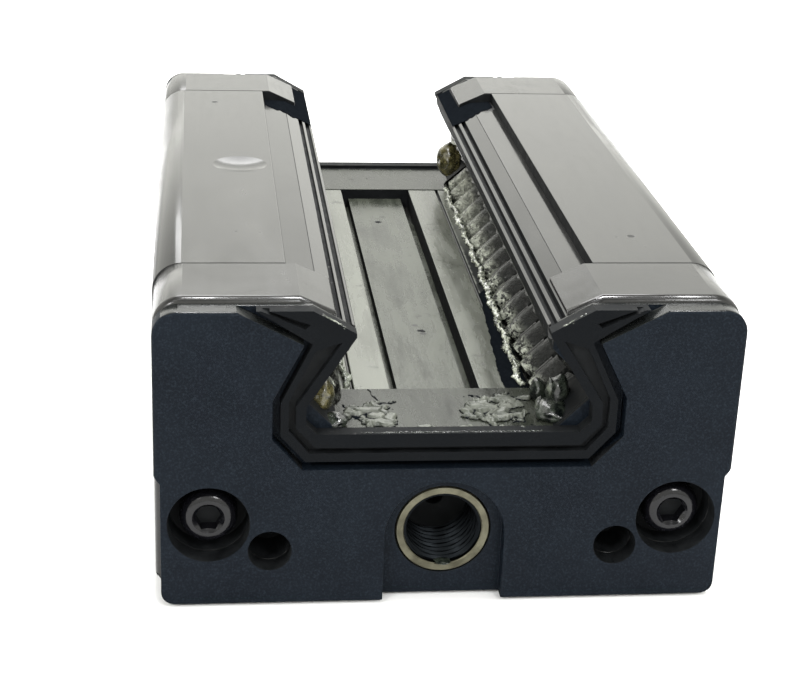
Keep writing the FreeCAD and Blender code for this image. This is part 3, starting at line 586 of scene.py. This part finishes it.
def grid_faces(rows, columns, closed=False):
    """Quads over points laid out row by row; closed joins the last column to the first."""
    faces = []
    for r in range(rows - 1):
        for c in range(columns if closed else columns - 1):
            d = (c + 1) % columns
            faces.append((r * columns + c, r * columns + d,
                          (r + 1) * columns + d, (r + 1) * columns + c))
    return faces


def port_insert(end, material):
    """Brass insert with a real helical thread inside and a chamfered mouth."""
    low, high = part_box("lube_insert_" + end)
    outward = -1 if end == "front" else 1
    face = (low.y if end == "front" else high.y) / MM
    depth = (high.y - low.y) / MM
    outer, height = (high.x - low.x) / 2 / MM, (high.z + low.z) / 2 / MM
    minor, major, lead, mouth = 4.28, 4.72, 1.0, 0.7
    turns, rows_per_lead = 64, 8
    profile = [(outer - 0.02, depth), (outer, depth - 0.15), (outer, 0.25), (outer - 0.2, 0.0),
               (major + 0.17, 0.0), (major + 0.05, 0.12), (major + 0.02, mouth - 0.1)]
    steps = int(depth / lead * rows_per_lead)
    points = []
    for radius, inset in profile:
        for i in range(turns):
            a = 2 * math.pi * i / turns
            points.append((radius * math.cos(a), face - outward * inset,
                           height + radius * math.sin(a)))
    for k in range(steps + 1):
        inset = mouth + (depth - mouth) * k / steps
        for i in range(turns):
            a = 2 * math.pi * i / turns
            phase = (inset / lead + i / turns) % 1.0
            crest = min(1.0, max(0.0, abs(2 * phase - 1) * 1.5 - 0.25))
            radius = major - (major - minor) * crest
            points.append((radius * math.cos(a), face - outward * inset,
                           height + radius * math.sin(a)))
    rows = len(points) // turns
    faces = grid_faces(rows, turns, closed=True)
    for i in range(turns):
        j = (i + 1) % turns
        faces.append((i, (rows - 1) * turns + i, (rows - 1) * turns + j, j))
    if outward > 0:
        faces = [f[::-1] for f in faces]
    piece = new_piece("port_insert_" + end, points, faces, material, smooth=False)
    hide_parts("lube_insert_" + end)


def thicken(piece):
    """Close an open sheet with a thin underside."""
    shell = piece.modifiers.new("shell", "SOLIDIFY")
    shell.thickness = 0.04 * MM
    shell.offset = -1.0


def trim(mesh, height):
    """Take away the points of a height field that lie below a height, and any left on their own."""
    shape = bmesh.new()
    shape.from_mesh(mesh)
    low = [v for v in shape.verts if v.co.z < height * MM]
    bmesh.ops.delete(shape, geom=low, context="VERTS")
    bmesh.ops.delete(shape, geom=[v for v in shape.verts if not v.link_faces], context="VERTS")
    shape.to_mesh(mesh)
    shape.free()


def crust(name, corner, far, base, thick, seed, materials):
    """Cracked crumbs of grease on a flat floor, clear of the rollers' lane: a height field."""
    cell = 0.09
    columns, rows = int((far[0] - corner[0]) / cell), int((far[1] - corner[1]) / cell)
    points = []
    for r in range(rows):
        for c in range(columns):
            u, v = c / (columns - 1), r / (rows - 1)
            x, y = corner[0] + (far[0] - corner[0]) * u, corner[1] + (far[1] - corner[1]) * v
            torn = 0.9 + 1.2 * noise.noise(Vector((x * 0.55, y * 0.55, seed + 3.0)))
            edge = min(1.0, max(0.0, 6.0 * min(u, 1 - u, v, 1 - v) - torn))
            bend = 0.7 * noise.noise(Vector((x * 0.7, y * 0.7, seed + 5.0)))
            lumps = noise.fractal(Vector((x * 0.32, y * 0.32, seed)), 1.0, 2.0, 4)
            first, second = noise.voronoi(Vector((x * 0.42 + bend, y * 0.5, seed)))[0][:2]
            crack = min(1.0, (second - first) * 7.0)
            cover = min(1.0, max(0.0, (lumps + 0.05 + edge * 0.35) * 4.0)) * min(1.0, 3.0 * edge)
            tilt = noise.noise(Vector((x * 0.45, y * 0.45, seed + 9.0)))
            fine = noise.fractal(Vector((x * 1.2, y * 1.2, seed)), 0.8, 2.0, 3)
            plates = crack * thick * (0.85 + 0.5 * tilt + 0.12 * fine)
            lane = min(1.0, max(0.0, (LANE - abs(x)) * 3.0)) if y > LANE_FRONT else 1.0
            height = cover * lane * (0.04 + plates) - 0.01
            points.append((x, y, base + height))
    piece = new_piece(name, points, grid_faces(rows, columns), materials[0])
    piece.data.materials.append(materials[1])
    trim(piece.data, base - 0.005)
    # painted shade: the faces low in the cracks take the near-black material
    for face in piece.data.polygons:
        face.material_index = 1 if face.center.z / MM < base + 0.10 else 0
    thicken(piece)


def shade_ribbon(height, material):
    """Painted shade: black band on the right floor strip beside the rollers, wider towards the
    front end.
    """
    rows, step = 180, 0.2
    points = []
    for row in range(rows):
        y = -CAP_SEAM + step * row
        reach = min(1.0, (-5.0 - y) / 30.0)
        torn = 0.30 * noise.fractal(Vector((0.0, y * 0.4, 6.0)), 1.0, 2.0, 3)
        inner = 11.9 - min(1.0, 12.0 * reach) * (1.1 + 1.9 * reach + torn)
        points += [(inner, y, height), (12.0, y, height)]
    thicken(new_piece("shade_ribbon", points, grid_faces(rows, 2), material))


def grime_and_shade_on_leg(name, sign, seed, material):
    """Black grime and painted shade on top of the leg strip and side seal, where they run under the
    back cap.
    """
    columns, rows = 58, 60
    seam_height, seal_slope, strip_slope = 37.3, 0.45, 0.056
    points = []
    for row in range(rows):
        for column in range(columns):
            x = 11.45 + 0.125 * column
            back = 52.5 if x < 13.5 else CAP_SEAM - 0.05
            inward = min(1.0, max(0.0, (18.6 - x) / 4.0))
            torn = 1.2 * noise.fractal(Vector((x * 0.5, seed, 0.0)), 1.0, 2.0, 4)
            front = CAP_SEAM - 3.5 - 4.5 * inward - torn
            slope = seal_slope if x < SEAL_SEAM else strip_slope
            height = seam_height + (x - SEAL_SEAM) * slope
            points.append((sign * x, front + (back - front) * row / (rows - 1), height + 0.07))
    faces = grid_faces(rows, columns)
    if sign < 0:
        faces = [f[::-1] for f in faces]
    thicken(new_piece(name, points, faces, material))


def bead(name, path, sides, seed, material):
    """Lumpy thread of grease along a level path of (x, y, z, radius) stations."""
    points = []
    run = Vector(path[-1][:3]) - Vector(path[0][:3])
    across = Vector((0, 0, 1)).cross(run).normalized()
    for x, y, z, radius in path:
        for k in range(sides):
            a = 2 * math.pi * k / sides
            out = across * math.cos(a) + Vector((0, 0, math.sin(a)))
            spot = Vector((x, y, z)) + 2 * out
            lump = 0.8 + 1.1 * noise.noise(spot * 0.8 + Vector((seed, 0, 0)))
            lump += 0.8 * noise.noise(spot * 2.6 + Vector((0, seed, 0)))
            points.append(tuple(Vector((x, y, z)) + out * radius * max(0.02, lump)))
    faces = grid_faces(len(path), sides, closed=True)
    faces.append(tuple(range(sides))[::-1])
    faces.append(tuple((len(path) - 1) * sides + k for k in range(sides)))
    return new_piece(name, points, [f[::-1] for f in faces], material)


def blob(name, centre, reach, seed, material, rough=0.30):
    """Soft clump of grease: a sphere pushed about by noise and stretched to its reach."""
    shape = bmesh.new()
    bmesh.ops.create_icosphere(shape, subdivisions=4, radius=1.0)
    for vertex in shape.verts:
        push = 1.0 + rough * (noise.noise(vertex.co * 1.1 + Vector((seed, 0, 0)))
                              + 0.35 * noise.noise(vertex.co * 2.9 + Vector((0, seed, 0))))
        vertex.co = Vector([vertex.co[i] * push * reach[i] + centre[i] for i in range(3)])
    points = [tuple(v.co) for v in shape.verts]
    faces = [tuple(v.index for v in f.verts) for f in shape.faces]
    shape.free()
    return new_piece(name, points, faces, material)


def grease_pieces(shade):
    """Old grease where it gathers: beside the rollers, at the turns and on the cap floor; painted
    shade in gaps, pits and a crack.
    """
    amber = grease("amber_grease", 51.0, (0.026, 0.024, 0.009), (0.13, 0.115, 0.050), clear=0.3)
    grey = grease("grey_grease", 52.0, (0.009, 0.012, 0.009), (0.15, 0.165, 0.13))
    hazy = grease("hazy_grease", 55.0, (0.055, 0.060, 0.042), (0.28, 0.29, 0.22), clear=0.2)
    murky = grease("murky_grease", 54.0, (0.002, 0.003, 0.003), (0.022, 0.027, 0.021), wet=0.2)
    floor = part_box("floor_strip_right")[1].z / MM
    deep_shade = deep_shade_black()
    crust_materials = crumbs("grease_crumbs", 53.0, CAP_FLOOR), deep_shade
    bright = grease("bright_grease", 56.0, (0.012, 0.016, 0.012), (0.40, 0.42, 0.34), wet=1.0,
                    patch=0.5)
    shade_ribbon(floor + 0.05, deep_shade)
    for side, sign in SIDES:
        stations = [(sign * (12.0 + 0.2 * math.sin(0.7 * y) - 0.022 * max(0.0, -y)), y, floor + 0.1,
                     0.50) for y in [-40.5 + 0.2 * i for i in range(406)]]
        bead("grease_line_" + side, stations, 10, 3.0 * sign, bright if sign > 0 else grey)
        grime_and_shade_on_leg("grime_and_shade_on_leg_" + side, sign, 5.0 + sign, deep_shade)
    for name, corner, far, thick, seed in (
            ("grease_crust_right", (1.0, -SEAL_FACE), (12.5, -41.1), 0.55, 3.0),
            ("grease_crust_left", (-13.8, -SEAL_FACE), (-4.0, -43.5), 0.5, 8.0),
            ("grease_crust_middle", (-6.0, -SEAL_FACE), (5.0, -52.0), 0.35, 12.0)):
        crust(name, corner, far, CAP_FLOOR, thick, seed, crust_materials)
    for name, centre, reach, seed, material in (
            ("grease_back_right", (12.7, 43.6, 26.9), (2.1, 2.2, 2.9), 1.0, amber),
            ("grease_high_right", (15.6, 50.0, 28.0), (1.8, 1.9, 3.1), 3.0, hazy),
            ("grease_back_left", (-13.2, 43.6, 26.0), (1.7, 2.0, 2.6), 6.0, amber),
            ("grease_front_left", (-15.2, -48.0, 25.0), (1.9, 2.6, 2.3), 2.0, amber),
            ("grease_low_left", (-13.4, -51.5, 22.9), (1.6, 1.8, 0.8), 4.0, murky),
            ("grease_low_right", (13.3, -49.6, 23.1), (2.1, 2.8, 1.2), 5.0, murky),
            ("grease_lump_right", (14.4, -47.6, 24.6), (1.5, 1.7, 2.3), 7.0, murky),
            ("grease_clot_right", (12.6, -44.2, 23.4), (1.2, 1.6, 1.4), 9.0, murky),
            ("grease_drop_low", (12.0, -48.0, 23.0), (0.55, 0.7, 1.15), 11.0, grey),
            ("grease_drop_high", (13.2, -47.9, 25.3), (0.40, 0.5, 1.3), 12.0, grey),
            ("grease_in_port", (0.2, -53.5, 4.60), (1.0, 0.9, 0.18), 14.0, murky)):
        blob(name, centre, reach, seed, material, 0.22)
    lip = [(-10.5 + 0.12 * i, -54.8 + 0.1 * math.sin(1.3 * i), 22.70, 0.13) for i in range(182)]
    bead("grease_on_lip", lip, 8, 21.0, murky)
    for side, sign in SIDES:
        rim = [(sign * (12.6 + 0.11 * i), -SEAL_FACE, 36.02 + 0.063 * i, 0.24) for i in range(26)]
        bead("grease_on_tip_" + side, rim, 8, 31.0 + sign, grey)
    # painted shade: a thin matt black thread along a crack in the cap floor
    crack = [(-8.5 + 0.1 * i + 0.12 * math.sin(1.1 * i), -41.4 - 0.4 * i, CAP_FLOOR, 0.11)
             for i in range(20)]
    bead("crack_shade", crack, 8, 27.0, shade)
    # painted shade: flat matt black discs in two pits of the panel
    for number, centre in enumerate(((-0.5, 28.7, PANEL), (1.0, -18.0, PANEL)), start=1):
        blob(f"pit_shade_{number}", centre, (0.55, 0.4, 0.05), 40.0 + number, shade, 0.5)


# ---------------------------------------------------------------- stage, light and camera

SKY_STRENGTH = 1.95
SKY_STOPS = (           # sine of the elevation, and brightness there
    (0.0, 0.85), (0.10, 1.0), (0.55, 1.0), (0.80, 0.35), (1.0, 0.30))
LAMPS = (               # name, place and target in metres, size in metres, watts
    ("tube_left", (-0.022, 0.0, 0.6), (-0.03, 0, 0.02), (0.11, 0.04), 2.6),
    ("tube_right", (0.17, 0.0, 0.6), (0.05, 0, 0.02), (0.24, 0.04), 2.4),
    ("ceiling", (0.0, -0.283, 0.6), (0, -0.055, 0.036), (0.60, 0.10), 0.9),
    ("far_panel", (-0.02, 0.455, 0.43), (-0.0235, 0, 0.038), (0.28, 0.22), 1.25),
    ("window_left", (-0.42, -0.55, 0.50), (0, -0.04, 0.02), (0.16, 0.16), 2.4),
    ("window_right", (0.26, -0.62, 0.52), (0, -0.04, 0.02), (0.16, 0.16), 2.4))
CAMERA_PLACE = (-29.34, -243.35, 112.55)    # millimetres
CAMERA_TURN = (67.345, -2.255, -6.239)      # degrees
CAMERA_LENS, CAMERA_SENSOR = 78.84, 36.0    # millimetres


def build_stage():
    """Plain pale floor under the mounting face."""
    floor = bpy.data.meshes.new("floor")
    reach = 3.0
    floor.from_pydata([(-reach, -reach, 0), (reach, -reach, 0), (reach, reach, 0),
                       (-reach, reach, 0)], [], [(0, 1, 2, 3)])
    floor_object = bpy.data.objects.new("floor", floor)
    bpy.context.scene.collection.objects.link(floor_object)
    s = Shader("pale_floor")
    floor.materials.append(s.finish((0.80, 0.80, 0.805), 0.6))
    bpy.context.scene.view_settings.view_transform = "Standard"


def build_world():
    """Soft studio light: a bright low band all round, like large windows and white walls."""
    world = bpy.data.worlds.new("studio")
    world.use_nodes = True
    tree = world.node_tree
    sky = tree.nodes["Background"]
    direction = tree.nodes.new("ShaderNodeTexCoord").outputs["Generated"]
    split = tree.nodes.new("ShaderNodeSeparateXYZ")
    tree.links.new(direction, split.inputs[0])
    ramp = tree.nodes.new("ShaderNodeValToRGB")
    tree.links.new(split.outputs["Z"], ramp.inputs[0])
    line = ramp.color_ramp.elements
    while len(line) < len(SKY_STOPS):
        line.new(0.5)
    for element, (place, bright) in zip(line, SKY_STOPS):
        element.position = place
        element.color = (bright, bright, bright * 0.94, 1.0)
    tree.links.new(ramp.outputs["Color"], sky.inputs["Color"])
    sky.inputs["Strength"].default_value = SKY_STRENGTH
    bpy.context.scene.world = world


def softbox(name, place, target, size, power):
    """Rectangular lamp that faces its target."""
    lamp = bpy.data.lights.new(name, "AREA")
    lamp.shape = "RECTANGLE"
    lamp.size, lamp.size_y = size
    lamp.energy = power
    holder = bpy.data.objects.new(name, lamp)
    holder.location = place
    holder.rotation_euler = (Vector(target) - Vector(place)).to_track_quat("-Z", "Y").to_euler()
    bpy.context.scene.collection.objects.link(holder)


def build_camera():
    """Camera solved from the outline of the carriage in the photograph."""
    lens = bpy.data.cameras.new("camera")
    lens.sensor_width = CAMERA_SENSOR
    lens.lens = CAMERA_LENS
    lens.clip_start = 0.01
    camera = bpy.data.objects.new("camera", lens)
    camera.location = [c * MM for c in CAMERA_PLACE]
    camera.rotation_euler = [math.radians(a) for a in CAMERA_TURN]
    bpy.context.scene.collection.objects.link(camera)
    bpy.context.scene.camera = camera


materials = paint_frame()
shade_matt_material = shade_matt()
shade_and_film_places(shade_matt_material)
soften_edges()
for end in ENDS:
    port_insert(end, materials["brass"])
grease_pieces(shade_matt_material)
build_stage()
build_world()
for lamp_settings in LAMPS:
    softbox(*lamp_settings)
build_camera()

bpy.context.view_layer.update()
